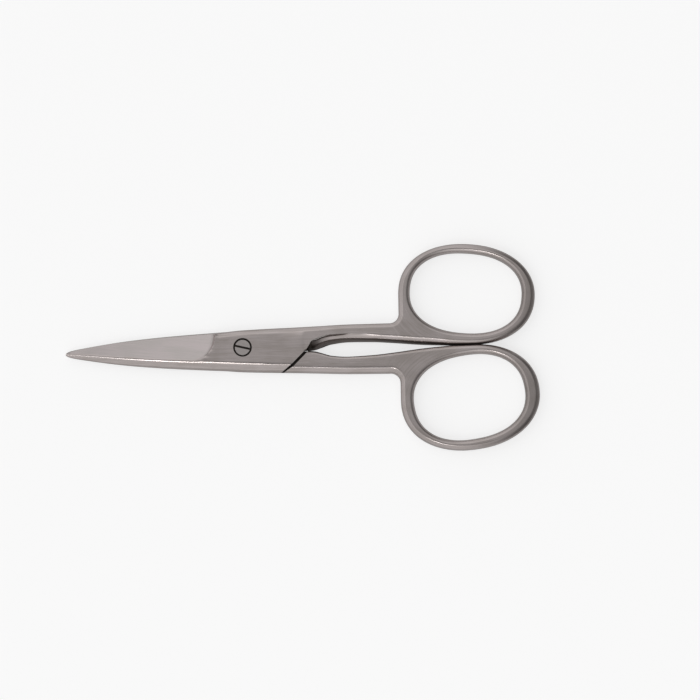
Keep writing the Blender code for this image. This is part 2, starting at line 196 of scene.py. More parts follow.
# Extra width of the inner bevel behind the shoulder, as shares of crotch_scoop, and how far that
# bevel is a filed slope, both over the same way
scoop_shares = ((0.0, 0.2), (0.06, 0.75), (0.11, 1.0), (0.175, 0.55), (0.25, 0.15), (0.34, 0.0),
                (1.0, 0.0))
steep_shares = ((0.0, 0.2), (0.06, 0.75), (0.11, 1.0), (0.20, 0.85), (0.30, 0.40), (0.45, 0.0),
                (1.0, 0.0))

# Shares of a width, a height or a run
inner_run_share = 0.70
spine_bevel_share = 0.95
bevel_depth_share = 0.70
round_depth_share = 1.4
plunge_overshare = 0.08
round_fade_share = 0.2
ripple_share = 0.62
bend_share = 0.38
wall_round_share = 0.55
tip_rim_share = 1 / 6
crease_round_share = 1 / 3
waste_clear_share = 1 / 3

# Worked out from the sizes above and the frame
pivot = blade_length
blade_face = thickness / 2 + seam_clearance / 2
blade_thickness = thickness - blade_face
seam_start = pivot + shoulder_inner
plunge_start = pivot - plunge_before_pivot
plunge_height = blade_thickness * (1 + plunge_overshare)
waste_end = seam_start + waste_length
dip_start = seam_start - dip_slope
pivot_place = Vector(frame["joints"][0]["pos_m"])

# Camera: the photograph's view, nearly from above with a long lens
view_width = 132.9 * MM
camera_distance = 0.9
camera_tilt = math.radians(5.5)
camera_roll = math.radians(1.1)
camera_target = (9.10 * MM, -0.28 * MM, thickness)
sensor_width = 36.0
clip_near = 0.05
clip_far = 50.0

# Studio: a white tent, whose greys are given against how far overhead and how far to the right a
# direction points; one strip lamp; and a white table, which glows less in reflections
port_lean = math.radians(8)
overhead_shares = ((0.0, 0.64), (0.3, 0.66), (0.6, 0.60), (0.82, 0.80), (0.91, 0.66), (0.972, 0.47),
                   (0.999, 0.22))
opening_shares = ((0.04, 1.0), (0.45, 0.35), (0.75, 0.2), (0.97, 0.42))
strip_place = (-0.15, -0.50, 0.95)
strip_size = (0.12, 0.28)
strip_power = 0.6
table_size = 8.0
table_colour = (0.48, 0.48, 0.48, 1.0)
table_glow = 0.69
glow_colour = (1.0, 1.0, 1.0, 1.0)
reflected_share = 0.3

# Grain of the steel: length, width and depth of the finest streaks, of the broad ones and of the
# clouds, how much fine detail they have, and how they mix
streak_size = (4.0 * MM, 0.16 * MM, 0.5 * MM)
broad_size = (14.0 * MM, 0.7 * MM, 2.0 * MM)
cloud_size = (5.0 * MM, 3.0 * MM, 3.0 * MM)
streak_detail = 4.0
streak_gain = 0.6
broad_detail = 2.0
broad_gain = 0.5
cloud_share = 0.5
streak_share = 0.35
mottle_low = 0.40
mottle_high = 0.60
gloss_low = 0.3
gloss_high = 0.7

# At the rings the grain runs round their middle, the gloss is duller and a painted shade darkens the far
# ends
ring_middle = (31.4 * MM, 9.9 * MM)
ring_squash = 1.33
ring_grain_start = 14.0 * MM
ring_grain_end = 20.0 * MM
ring_satin = 0.05
ring_shade = 0.45
ring_shade_start = 11.0 * MM
ring_shade_end = 32.0 * MM
ring_end_painted_shade_colour = (0.24, 0.215, 0.20)

# Worn edges: how far they reach from a corner, and how sharp a turn wears fully
wear_radius = 0.12 * MM
wear_samples = 4
wear_turn = 0.06
wear_polish = 0.05

# Soil and painted shade lie in ovals round a place, whole within the core's share of the reach, and on
# slopes: flat and steep are the normal's upward part where it starts and where it is whole. Above 1,
# both let it lie on flats too. The crotch gets soil and painted shade, the slit's corner and the walls
# along the gap between the shanks painted shade only
crotch_soil_and_shade = {"place": (1.1 * MM, 0.1 * MM, 2.0 * MM), "reach": (3.6 * MM, 3.6 * MM, 3.6 * MM),
               "core": 0.17, "flat": 0.97, "steep": 0.90, "strength": 1.0}
corner_painted_shade = {"place": (1.3 * MM, -0.2 * MM, 2.5 * MM), "reach": (1.15 * MM, 0.5 * MM, 3.0 * MM),
               "core": 0.5, "flat": 1.2, "steep": 1.1, "strength": 1.0}
lens_painted_shade = {"place": (16.5 * MM, 0.4 * MM, 1.5 * MM), "reach": (22.0 * MM, 2.8 * MM, 6.0 * MM),
             "core": 0.8, "flat": 0.72, "steep": 0.45, "strength": 0.65}
soil_and_shade_colour = (0.06, 0.045, 0.035)
soil_and_shade_roughness = 0.5

# Finishes: colour where darkest, where lightest and on worn edges; roughness and its spread; depth
# of the fine and of the broad grain; and the turn of the grain from the long axis
satin_finish = {"low": (0.54, 0.482, 0.46), "high": (0.642, 0.577, 0.565), "edge": (0.66, 0.62, 0.60),
                "roughness": 0.17, "spread": 0.06, "grain": 0.004 * MM, "wave": 0.008 * MM, "turn": 0.0}
ground_finish = {"low": (0.59, 0.545, 0.53), "high": (0.65, 0.585, 0.58), "edge": (0.68, 0.64, 0.63),
                 "roughness": 0.19, "spread": 0.06, "grain": 0.004 * MM, "wave": 0.006 * MM, "turn": 0.12}
hollow_finish = {"low": (0.545, 0.50, 0.48), "high": (0.60, 0.555, 0.54), "edge": (0.64, 0.62, 0.60),
                 "roughness": 0.24, "spread": 0.06, "grain": 0.003 * MM, "wave": 0.004 * MM, "turn": 1.4}
screw_finish = {"low": (0.545, 0.50, 0.485), "high": (0.575, 0.53, 0.515), "edge": (0.62, 0.59, 0.58),
                "roughness": 0.21, "spread": 0.05, "grain": 0.002 * MM, "wave": 0.002 * MM, "turn": 0.5}
# Soil and painted shade: near-black steel in the slit and on the shoulder's wall, on the lap beside it,
# in the bores and in the screw's slot, where shade falls
soil_and_shade_finish = {"low": (0.06, 0.05, 0.045), "high": (0.08, 0.07, 0.06), "edge": (0.10, 0.085, 0.075),
                 "roughness": 0.48, "spread": 0.10, "grain": 0.004 * MM, "wave": 0.004 * MM, "turn": 0.0}

# The material slots of a half, and of the screw: the last of each is near-black soil and painted shade
BODY, GROUND, HOLLOW, SOIL_AND_SHADE = 0, 1, 2, 3
SCREW_BODY, SCREW_SOIL_AND_SHADE = 0, 1


def curve_through(points):
    """A smooth function through points, level at a peak and never past its neighbours."""
    xs = [p[0] for p in points]
    ys = [p[1] for p in points]
    rises = [(ys[i + 1] - ys[i]) / (xs[i + 1] - xs[i]) for i in range(len(xs) - 1)]
    slopes = [rises[0]]
    for before, after in zip(rises, rises[1:]):
        slopes.append(2 * before * after / (before + after) if before * after > 0 else 0.0)
    slopes.append(rises[-1])

    def value(x):
        x = min(max(x, xs[0]), xs[-1])
        i = max(k for k in range(len(rises)) if xs[k] <= x)
        step = xs[i + 1] - xs[i]
        t = (x - xs[i]) / step
        bend = slopes[i] * (1 - t) - slopes[i + 1] * t
        straight = ys[i] + (ys[i + 1] - ys[i]) * t * t * (3 - 2 * t)
        return straight + step * t * (1 - t) * bend

    return value


side_curve = curve_through(side_shares)
lens_curve = curve_through(lens_shares)
scoop_curve = curve_through(scoop_shares)
steep_curve = curve_through(steep_shares)


def clamp(value):
    return min(max(value, 0.0), 1.0)


def ease(share):
    """Runs smoothly from 0 to 1 with share, and is level outside."""
    share = clamp(share)
    return share * share * (3 - 2 * share)


def mix(start, end, share):
    return start + (end - start) * share


def smooth_min(a, b, width):
    """The lower of two heights, rounded where they cross."""
    near = max(width - abs(a - b), 0.0) / width
    return min(a, b) - near * near * width / 4


def half_width(u):
    """Half width of the body, from the tip to the crotch."""
    return body_half_width * side_curve(math.sqrt(clamp(u / crotch_station)))


def edge_line(u):
    """The cutting edge lies a little inside the other half's spine."""
    width = half_width(u)
    setback = edge_setback * (1 - ease((u - plunge_start) / plunge_before_pivot))
    return width - setback * width / (width + edge_setback)


def blade_height(u):
    """Thickness of the blade at its crease, which thins towards the tip."""
    share = clamp(u / plunge_start)
    return mix(tip_thickness, blade_thickness, share * (2 - share))


def spine_width(u):
    """Width of the bevel along the spine, narrower at the tip."""
    return spine_bevel * math.tanh(spine_bevel_share * half_width(u) / spine_bevel)


def seam(u, side):
    """Line on which shanks and rings meet: it leans a little from the middle line."""
    return side * math.tan(seam_lean) * (u - pivot - seam_crossing)


def corner_share(near):
    """How far the plunge bends back towards the tip, as a share of its corner's length."""
    near = clamp(near)
    return 1 - math.sqrt(1 - near * near)


def worn(u, v):
    """How far the flats behind the plunge are worn down."""
    roll = ease((u - dip_start + roll_run) / roll_run) * (1 - ease((u - dip_start) / dip_slope))
    near = clamp((v - half_width(u) + roll_width) / roll_width)
    dip = ease((u - dip_start) / dip_slope) * (1 - ease((u - dip_start - dip_slope) / dip_run))
    return roll_depth * roll * near * near + dip_depth * dip


def top(u, v):
    """Height of a half's outer face: the ground blade face, the plunge and the flats, blended."""
    flat = blade_face + blade_height(u)
    if u > plunge_start + plunge_length:
        return flat - worn(u, v)
    crease = spine_width(u) - half_width(u)
    edge = max(edge_line(u), crease + edge_rim)
    share = (v - crease) / (edge - crease)
    base = mix(flat, blade_face + edge_thickness, share)
    start = plunge_start - plunge_corner_length * corner_share(1 - (v - crease) / plunge_corner_width)
    run_share = clamp((u - start) / plunge_length)
    rise = plunge_height * (1 - math.sqrt(1 - run_share * run_share))
    return smooth_min(base + rise, flat, plunge_blend)


def oval(centre, half_length, half_breadth, tilt, power):
    """Points counter-clockwise round a tilted superellipse."""
    points = []
    tilt_cosine, tilt_sine = math.cos(tilt), math.sin(tilt)
    for i in range(ring_steps):
        angle = math.tau * i / ring_steps
        cosine, sine = math.cos(angle), math.sin(angle)
        x = half_length * math.copysign(abs(cosine) ** (2 / power), cosine)
        y = half_breadth * math.copysign(abs(sine) ** (2 / power), sine)
        points.append((centre[0] + x * tilt_cosine - y * tilt_sine,
                       centre[1] + x * tilt_sine + y * tilt_cosine))
    return points


class Row:
    """One section of a rim: its place, the widths of its top and bottom bevels and how round they are."""

    def __init__(self, u, v, top_width, bottom_width, inward=None, rounding=(flat_round, bevel_round),
                 roundness=0.0, steepness=0.0):
        self.place = Vector((u, v))
        self.top_width = top_width
        self.bottom_width = bottom_width
        self.inward = inward
        self.rounding = [min(length, top_width / 2) for length in rounding]
        self.bottom_rounding = [min(length, bottom_width / 2) for length in rounding]
        self.roundness = roundness
        self.steepness = steepness

    def at(self, inset):
        return self.place + self.inward * inset

    def section(self):
        """Inset and height from the bottom flat, up the wall, to the top face, with round corners."""
        crease = self.at(self.top_width)
        inner = self.at(self.top_width + self.rounding[0])
        high, end = top(crease.x, crease.y), top(inner.x, inner.y)
        below = bevel_curve(self.bottom_width, self.bottom_rounding, 0.0, self.roundness, 0.0)
        above = bevel_curve(self.top_width, self.rounding, high - end, self.roundness, self.steepness)
        section = [(self.bottom_width + self.bottom_rounding[0], 0.0)] + below[::-1]
        section += [(inset, high - drop) for inset, drop in above]
        return section + [(self.top_width + self.rounding[0], end)]


def bevel_curve(width, rounding, fall, roundness, steepness):
    """Inset and drop from the wall to the crease: a chamfer with soft corners, or a quarter oval,
    which steepness turns into a filed slope."""
    depth = width * bevel_depth_share
    wall, crease = (0.0, depth), (width, 0.0)
    chamfer = round_corner((0.0, depth + width), wall, crease, width * wall_round_share)
    chamfer += round_corner(wall, crease, (width + rounding[0], fall), rounding[0], rounding[1])
    round_depth = mix(min(width * round_depth_share, round_depth_limit), scoop_depth, steepness)
    points = []
    for k, (inset, drop) in enumerate(chamfer):
        angle = math.pi / 2 * k / (len(chamfer) - 1)
        round_inset = width * (1 - math.cos(angle))
        round_drop = round_depth * mix(1 - math.sin(angle), math.cos(angle), steepness)
        round_drop += scoop_ripple * steepness * (ripple(1 - math.cos(angle)) - ripple(0.0))
        points.append((mix(inset, round_inset, roundness), mix(drop, round_drop, roundness)))
    return points


def ripple(share):
    """The swell of the filed slope: gentle at ripple_share of its width, and steep to both sides."""
    return math.sin(math.tau * (share - ripple_share))


def round_corner(before, corner, after, length, first_length=None):
    """Points on a curve that leaves one leg of a corner and joins the other, that far from it."""
    corner = Vector(corner)
    start = corner + (Vector(before) - corner).normalized() * (first_length or length)
    end = corner + (Vector(after) - corner).normalized() * length
    points = []
    for k in range(corner_steps + 1):
        t = k / corner_steps
        point = start * (1 - t) ** 2 + corner * (2 * t * (1 - t)) + end * t ** 2
        points.append((point.x, point.y))
    return points


class Plan:
    """Outline of one half in its own frame: side is 1 for the front half and -1 for the rear."""

    def __init__(self, side, ring):
        self.side = side
        around = oval((0.0, 0.0), ring["half_length"], ring["half_width"], ring["tilt"], ring_power)
        low = min(range(ring_steps), key=lambda i: around[i][1])
        back = min(range(ring_steps), key=lambda i: around[i][0])
        centre_u = pivot + ring["reach"] - max(p[0] for p in around)
        self.meet = centre_u + around[low][0]
        centre_v = seam(self.meet, side) + ring_gap / 2 - around[low][1]
        steps = (back - low) % ring_steps
        self.ring_arc = [(centre_u + around[(low + i) % ring_steps][0],
                          centre_v + around[(low + i) % ring_steps][1]) for i in range(steps + 1)]
        hole_centre = (centre_u - ring["hole_pull"], centre_v + ring["hole_lift"])
        self.hole = oval(hole_centre, ring["half_length"] - ring["end_band"],
                         ring["half_width"] - ring["side_band"], ring["hole_tilt"], hole_power)
        self.crotch_end = self.ring_arc[-1][0] - web_fillet
        self.stations = blade_stations() + shank_stations(self.crotch_end)

    def inner_share(self, u):
        return (u - seam_start) / (self.meet - seam_start)

    def inner(self, u):
        """Inner side of the shank, which bows away from the seam."""
        return seam(u, self.side) + ring_gap / 2 + lens_half_gap * lens_curve(self.inner_share(u))

    def inner_row(self, u):
        share = self.inner_share(u)
        steepness = steep_curve(share)
        scoop = crotch_scoop * scoop_curve(share)
        start = clamp((u - waste_end) / crotch_run)
        ring_share = ease((share - inner_run_share) / (1 - inner_run_share))
        top_width = mix(edge_rim, mix(inner_bevel_top, ring_bevel, ring_share) + scoop, start)
        bottom_width = mix(edge_rim, mix(inner_bevel_bottom, ring_bevel, ease(share)), start)
        rise = self.inner(u + edge_rim) - self.inner(u - edge_rim)
        inward = Vector((-rise, 2 * edge_rim)).normalized()
        rounding = (edge_rim, edge_rim)
        return Row(u, self.inner(u), top_width, bottom_width, inward, rounding, 1.0, steepness * start)

    def near_row(self, u):
        """A section on the side away from the half's own ring: the spine, then the shank's inner side."""
        if u > waste_end:
            return self.inner_row(u)
        width = spine_width(u)
        bottom_width = min(edge_rim, half_width(u) * tip_rim_share)
        fade = ease((u - pivot) / crease_fade)
        sharp = min(crease_round, width * crease_round_share)
        rounding = [mix(sharp, length, fade) for length in (flat_round, bevel_round)]
        return Row(u, -half_width(u), width, bottom_width, Vector((0.0, 1.0)), rounding)

    def far_row(self, u):
        """A section on the ring's side: the cutting edge, the pivot part and the shank's outer side."""
        ricasso = ease((u - plunge_start) / ricasso_run)
        shank = ease((u - pivot - shoulder_outer) / shoulder_inner)
        rim = min(edge_rim, half_width(u) * tip_rim_share)
        top_width = mix(rim, mix(ricasso_bevel, shank_bevel_top, shank), ricasso)
        bottom_width = mix(rim, shank_bevel_bottom, ease((u - pivot) / shoulder_outer))
        return Row(u, edge_line(u), top_width, bottom_width, Vector((0.0, -1.0)))

    def crotch_rows(self):
        """Round the fillet from the ring's back down to the shank's outer side."""
        rows = []
        back = self.ring_arc[-1][0]
        centre = (back - web_fillet, half_width(back) + web_fillet)
        for i in range(fillet_steps):
            share = i / fillet_steps
            angle = -math.pi / 2 * share
            u = centre[0] + web_fillet * math.cos(angle)
            v = centre[1] + web_fillet * math.sin(angle)
            top_width = mix(ring_bevel, shank_bevel_top, share)
            bottom_width = mix(ring_bevel, shank_bevel_bottom, share)
            rounding = (mix(ring_round, flat_round, share), bevel_round)
            rows.append(Row(u, v, top_width, bottom_width, None, rounding))
        return rows


def blade_stations():
    """Rows over the blade and pivot part, each a base, a pull back at the crease and a share of the
    plunge's run. They follow the plunge line, and then straighten again."""
    rows = []
    for i in range(1, blade_rows + 1):
        base = mix(tip_width, plunge_start, (i / blade_rows) ** crowding)
        rows.append((base, plunge_corner_length * ease(base / plunge_start), 0.0))
    rows += [(plunge_start, plunge_corner_length, i / plunge_rows) for i in range(1, plunge_rows + 1)]
    for i in range(1, catch_rows + 1):
        share = (i / catch_rows) ** crowding
        base = mix(plunge_start, pivot + shoulder_outer / 2, share)
        rows.append((base, plunge_corner_length * (1 - share), 1 - share))
    return rows


def shank_stations(end):
    """Straight rows from the pivot part to the crotch at the ring."""
    start = pivot + shoulder_outer / 2
    rows = [(mix(start, end, i / shank_rows), 0.0, 0.0) for i in range(1, shank_rows + 1)]
    return [row for row in rows if abs(row[0] - waste_end) > waste_length * waste_clear_share]


def station_u(row, share):
    """Where a row lies at a share of the way from crease to edge."""
    base, pull, run_share = row
    reach = edge_line(plunge_start) + half_width(plunge_start) - spine_width(plunge_start)
    bend = corner_share(1 - share * reach / plunge_corner_width)
    depth = plunge_blend / 2 + share * (blade_thickness - edge_thickness)
    run = plunge_length * math.sqrt(1 - (1 - depth / plunge_height) ** 2)
    return base - pull * bend + run * run_share


def set_inward(rows, turn):
    """Give each row of a loop that has none the direction in which its bevels run in."""
    count = len(rows)
    for i, row in enumerate(rows):
        if row.inward:
            continue
        before = (row.place - rows[i - 1].place).normalized()
        after = (rows[(i + 1) % count].place - row.place).normalized()
        along = (before + after).normalized()
        row.inward = Vector((-along.y, along.x)) * turn


def loft(bm, rows, turn):
    """Loft the sections round a loop, and return the vertices of each."""
    set_inward(rows, turn)
    sections = []
    for row in rows:
        points = [(row.at(inset), height) for inset, height in row.section()]
        sections.append([bm.verts.new((place.x, place.y, height)) for place, height in points])
    for i, section in enumerate(sections):
        following = sections[(i + 1) % len(sections)]
        for k in range(len(section) - 1):
            bm.faces.new((section[k], following[k], following[k + 1], section[k + 1]))
    return sections


def fill(bm, loops):
    """Fill the flat face between loops of vertices."""
    edges = []
    for loop in loops:
        for i, vert in enumerate(loop):
            after = loop[(i + 1) % len(loop)]
            edges.append(bm.edges.get((vert, after)) or bm.edges.new((vert, after)))
    bmesh.ops.triangle_fill(bm, use_beauty=True, edges=edges)


def rim_rows(plan, stations):
    """The sections all round a half: along the near side from the tip, round the ring, and back."""
    near = [plan.near_row(station_u(row, 0.0)) for row in stations]
    far = [plan.far_row(station_u(row, 1.0)) for row in stations]
    web = [plan.inner_row(mix(plan.crotch_end, plan.meet, i / web_rows)) for i in range(1, web_rows)]
    fade = round_fade_share * len(plan.ring_arc)
    ring = [Row(u, v, ring_bevel, ring_bevel, None, (ring_round, bevel_round), 1 - ease(i / fade))
            for i, (u, v) in enumerate(plan.ring_arc)]
    return near + web + ring + plan.crotch_rows() + far[::-1]


def outer_grid(bm, stations, outside):
    """Face the outer side from the tip to the ring, in rows that follow the plunge, and return the
    last row of vertices."""
    shares = [(j / face_columns) ** crowding for j in range(1, face_columns)]
    grid = []
    for i, row in enumerate(stations[1:], 1):
        start, end = outside[i][-1], outside[-1 - i][-1]
        line = [start]
        for share in shares:
            u, v = station_u(row, share), mix(start.co.y, end.co.y, share)
            line.append(bm.verts.new((u, v, top(u, v))))
        grid.append(line + [end])
    bm.faces.new([outside[0][-1], outside[-1][-1]] + grid[0][::-1])
    for i, (line, following) in enumerate(zip(grid, grid[1:]), 1):
        for j in range(face_columns):
            face = bm.faces.new((line[j], line[j + 1], following[j + 1], following[j]))
            face.material_index = GROUND if i < blade_rows + plunge_rows else BODY
    return grid[-1]


def make_blank(name, plan):
    """The forging before its steps are cut, with the blade face ground."""
    bm = bmesh.new()
    stations = [(tip_width, 0.0, 0.0)] + plan.stations
    outside = loft(bm, rim_rows(plan, stations), 1)
    rounding = (edge_rim, edge_rim)
    hole = [Row(u, v, hole_bevel, hole_bevel, rounding=rounding, roundness=1.0) for u, v in plan.hole]
    inside = loft(bm, hole, -1)
    count = len(stations)
    beyond = [section[-1] for section in outside[count:len(outside) - count]]
    top_loop = outer_grid(bm, stations, outside) + beyond[::-1]
    fill(bm, [top_loop, [section[-1] for section in inside]])
    fill(bm, [[section[0] for section in loops] for loops in (outside, inside)])
    bmesh.ops.recalc_face_normals(bm, faces=bm.faces)
    return to_object(name, bm)


def to_object(name, bm):
    mesh = bpy.data.meshes.new(name)
    bm.to_mesh(mesh)
    bm.free()
    obj = bpy.data.objects.new(name, mesh)
    bpy.context.scene.collection.objects.link(obj)
    return obj


def make_prism(points, low, high, wall, end, split=None):
    """A flat outline, extruded between two heights, with its own material on the walls and the ends.
    Beyond a split, a place and a direction, the ends have the walls' material too."""
    bm = bmesh.new()
    face = bm.faces.new([bm.verts.new((point[0], point[1], low)) for point in points])
    raised = bmesh.ops.extrude_face_region(bm, geom=[face])
    for item in raised["geom"]:
        if isinstance(item, bmesh.types.BMVert):
            item.co.z = high
    if split:
        whole = bm.verts[:] + bm.edges[:] + bm.faces[:]
        bmesh.ops.bisect_plane(bm, geom=whole, plane_co=split[0], plane_no=split[1])
    bmesh.ops.recalc_face_normals(bm, faces=bm.faces)
    for face in bm.faces:
        centre = face.calc_center_median()
        beyond = split and (centre - split[0]).dot(split[1]) > 0
        face.material_index = wall if beyond or low < centre.z < high else end
    return to_object("cutter", bm)


def make_turned(name, profile, material):
    """A solid of revolution from radius and height pairs, that starts and ends on the axis."""
    bm = bmesh.new()
    loops = []
    for radius, height in profile:
        if radius == 0.0:
            loops.append([bm.verts.new((0.0, 0.0, height))] * screw_steps)
            continue
        angles = [math.tau * i / screw_steps for i in range(screw_steps)]
        loops.append([bm.verts.new((radius * math.cos(a), radius * math.sin(a), height)) for a in angles])
    for lower, upper in zip(loops, loops[1:]):
        for i in range(screw_steps):
            j = (i + 1) % screw_steps
            corners = dict.fromkeys((lower[i], lower[j], upper[j], upper[i]))
            bm.faces.new(list(corners)).material_index = material
    bmesh.ops.recalc_face_normals(bm, faces=bm.faces)
    return to_object(name, bm)


def cut(obj, cutter):
    """Cut the piece for good, and take the cutter away."""
    modifier = obj.modifiers.new("cut", "BOOLEAN")
    modifier.operation = "DIFFERENCE"
    modifier.solver = "MANIFOLD"
    modifier.object = cutter
    bpy.context.view_layer.update()
    result = bpy.data.meshes.new_from_object(obj.evaluated_get(bpy.context.evaluated_depsgraph_get()))
    obj.modifiers.clear()
    obj.data = result
    bpy.data.objects.remove(cutter)


def shoulder_cutter(plan):
    """Frees this half's pivot part from the other half's shank, over the full height."""
    outer = Vector((pivot + shoulder_outer, -half_width(pivot + shoulder_outer)))
    inner = Vector((seam_start, seam(seam_start, plan.side) + slit_half_gap))
    bend = outer.lerp(inner, bend_share)
    outer.x -= shoulder_bend
    low_end = outer + (outer - bend).normalized() * overrun
    slit_end = waste_end + overrun
    floor = low_end.y - overrun
    points = [bend, low_end, (low_end.x, floor), (slit_end, floor),
              (slit_end, seam(slit_end, plan.side) + slit_half_gap), inner]
    return make_prism(points, -overrun, thickness + overrun, SOIL_AND_SHADE, SOIL_AND_SHADE)


def lap_cutter(plan):
    """Takes away the half thickness where the other half's pivot part and blade lie."""
    outer = Vector((pivot + shoulder_outer, half_width(pivot + shoulder_outer)))
    inner = Vector((seam_start, seam(seam_start, plan.side) - slit_half_gap))
    along = (inner - outer).normalized()
    across = Vector((-along.y, along.x)) * shoulder_gap
    bend = outer.lerp(inner, bend_share) + across
    high = outer + Vector((-along.y, along.x)) * shoulder_gap_low
    high.x -= shoulder_bend
    high += (high - bend).normalized() * overrun
    low = inner + across + along * overrun
    side = high.y + overrun
    points = [(-overrun, -side), (low.x, -side), low, bend, high, (high.x, side), (-overrun, side)]
    normal = Vector((-along.y, along.x, 0.0))
    split = ((outer + across).to_3d() - normal * soil_and_shade_width, normal)
    return make_prism(points, -overrun, blade_face, SOIL_AND_SHADE, HOLLOW, split)


def hollow_cutter():
    """The shallow hollow of the inner face, which leaves the ride and two lands standing."""
    start = hollow_land
    while min(half_width(start), edge_line(start)) < hollow_land * 2:
        start += hollow_land
    end = pivot - ride_radius
    bm = bmesh.new()
    bmesh.ops.create_grid(bm, x_segments=hollow_rows, y_segments=hollow_columns, size=1.0)
    for vert in bm.verts:
        u = mix(start, end, (vert.co.x + 1) / 2)
        across = vert.co.y
        middle = (edge_line(u) - half_width(u)) / 2
        reach = (edge_line(u) + half_width(u)) / 2
        run = max(u - end + hollow_runout, 0.0) / hollow_runout
        depth = 1 - (across * reach / (reach - hollow_land)) ** 2 - run * run
        vert.co = (u, middle + across * reach, blade_face + hollow_depth * depth)
    raised = bmesh.ops.extrude_face_region(bm, geom=bm.faces[:])
    for face in bm.faces:
        face.material_index = HOLLOW
    for item in raised["geom"]:
        if isinstance(item, bmesh.types.BMVert):
            item.co.z = -overrun
    bmesh.ops.recalc_face_normals(bm, faces=bm.faces)
    return to_object("cutter", bm)


def bore_cutter(place, radius, low, countersink):
    """A bore from low through the outer face, with a broken edge there."""
    profile = [(0.0, low), (radius, low), (radius, thickness - countersink),
               (radius + countersink + overrun, thickness + overrun), (0.0, thickness + overrun)]
    cutter = make_turned("cutter", profile, SOIL_AND_SHADE)
    cutter.location = (place[0], place[1], 0.0)
    return cutter


def finish_surface(obj, angle):
    """Smooth shading, with edges that turn by more than the angle kept and the flats left flat."""
    mesh = obj.data
    mesh.shade_smooth()
    mesh.set_sharp_from_angle(angle=angle)
    weighted = obj.modifiers.new("weighted normals", "WEIGHTED_NORMAL")
    weighted.keep_sharp = True
    weighted.weight = flat_weight


def make_half(name, plan, bores, materials):
    """One half, forged, stepped, hollowed and drilled, and set in its place on the pivot."""
    half = make_blank(name, plan)
    set_materials(half, materials)
    cut(half, shoulder_cutter(plan))
    cut(half, lap_cutter(plan))
    cut(half, hollow_cutter())
    place = (pivot, plan.side * pivot_offset)
    for radius, low in bores:
        cut(half, bore_cutter(place, radius, low, bore_edge))
    half.data.transform(Matrix.Translation((-place[0], -place[1], 0.0)))
    if plan.side < 0:
        half.data.transform(Matrix.Translation((0.0, 0.0, thickness)) @ Matrix.Rotation(math.pi, 4, "X"))
    half.data.transform(Matrix.Translation(pivot_place))
    finish_surface(half, half_edge_angle)
    return half


def make_screw(name, materials):
    """The pivot screw, with its edges broken and its slot cut."""
    head_low = thickness - head_height
    profile = [(0.0, screw_end_inset), (screw_radius - screw_edge, screw_end_inset)]
    profile += [(screw_radius, screw_end_inset + screw_edge), (screw_radius, head_low)]
    profile += [(head_radius, head_low), (head_radius, thickness - screw_edge)]
    profile += [(head_radius - screw_edge, thickness), (0.0, thickness)]
    screw = make_turned(name, profile, SCREW_BODY)
    set_materials(screw, materials)
    half_slot = slot_width / 2
    reach = head_radius + overrun
    points = [(-reach, -half_slot), (reach, -half_slot), (reach, half_slot), (-reach, half_slot)]
    slot = make_prism(points, thickness - slot_depth, thickness + overrun, SCREW_SOIL_AND_SHADE, SCREW_SOIL_AND_SHADE)
    slot.rotation_euler.z = slot_turn
    cut(screw, slot)
    screw.data.transform(Matrix.Translation(pivot_place))
    finish_surface(screw, screw_edge_angle)
    return screw


class Graph:
    """The nodes of a material or of the world, with short ways to add and join them."""

    def __init__(self, owner):
        owner.use_nodes = True
        self.nodes, self.links = owner.node_tree.nodes, owner.node_tree.links

    def connect(self, node, inputs):
        """Link the sockets of a node to the outputs given for them, and set the others to the values."""
        for key, value in inputs.items():
            if isinstance(value, bpy.types.NodeSocket):
                self.links.new(value, node.inputs[key])
            else:
                node.inputs[key].default_value = value

    def add(self, kind, inputs, **settings):
        """A new node, with its settings made before its sockets are joined."""
        node = self.nodes.new(kind)
        for name, setting in settings.items():
            setattr(node, name, setting)
        self.connect(node, inputs)
        return node

    def math(self, operation, *values):
        return self.add("ShaderNodeMath", dict(enumerate(values)), operation=operation).outputs[0]

    def vector(self, operation, *values):
        """The outputs of a vector math node: a vector, and for some operations a number."""
        return self.add("ShaderNodeVectorMath", dict(enumerate(values)), operation=operation).outputs

    def parts(self, place):
        """The three parts of a vector."""
        return self.add("ShaderNodeSeparateXYZ", {0: place}).outputs

    def mix(self, factor, first, second):
        """A number from first to second, by a factor."""
        return self.add("ShaderNodeMix", {"Factor": factor, "A": first, "B": second}).outputs[0]

    def mix_colours(self, factor, first, second, blend="MIX"):
        """A colour from first to second, each an output or plain red, green and blue."""
        first, second = [(*colour, 1.0) if isinstance(colour, tuple) else colour
                         for colour in (first, second)]
        inputs = {"Factor": factor, "A": first, "B": second}
        return self.add("ShaderNodeMix", inputs, data_type="RGBA", blend_type=blend).outputs["Result"]

    def step(self, value, low, high):
        """Smooth step from 0 at low to 1 at high."""
        inputs = {"Value": value, "From Min": low, "From Max": high}
        return self.add("ShaderNodeMapRange", inputs, interpolation_type="SMOOTHSTEP").outputs[0]

    def noise(self, place, size, detail, gain):
        """Noise over a place, with a size for each direction, as strength from 0 to 1."""
        scale = [1 / length for length in size]
        scaled = self.add("ShaderNodeMapping", {"Vector": place, "Scale": scale}).outputs[0]
        inputs = {"Vector": scaled, "Scale": 1.0, "Detail": detail, "Roughness": gain}
        return self.add("ShaderNodeTexNoise", inputs).outputs[0]

    def bump(self, height, depth, under=None):
        """A normal raised by a height from 0 to 1, as deep as said, over another if one is given."""
        inputs = {"Height": height, "Distance": depth, "Strength": 1.0}
        if under:
            inputs["Normal"] = under
        return self.add("ShaderNodeBump", inputs).outputs[0]

    def greys(self, value, stops):
        """Greys by a value, from pairs of value and grey in order."""
        node = self.add("ShaderNodeValToRGB", {0: value})
        elements = node.color_ramp.elements
        while len(elements) < len(stops):
            elements.new(1.0)
        for element, (position, grey) in zip(elements, stops):
            element.position = position
            element.color = (grey, grey, grey, 1.0)
        return node.outputs[0]


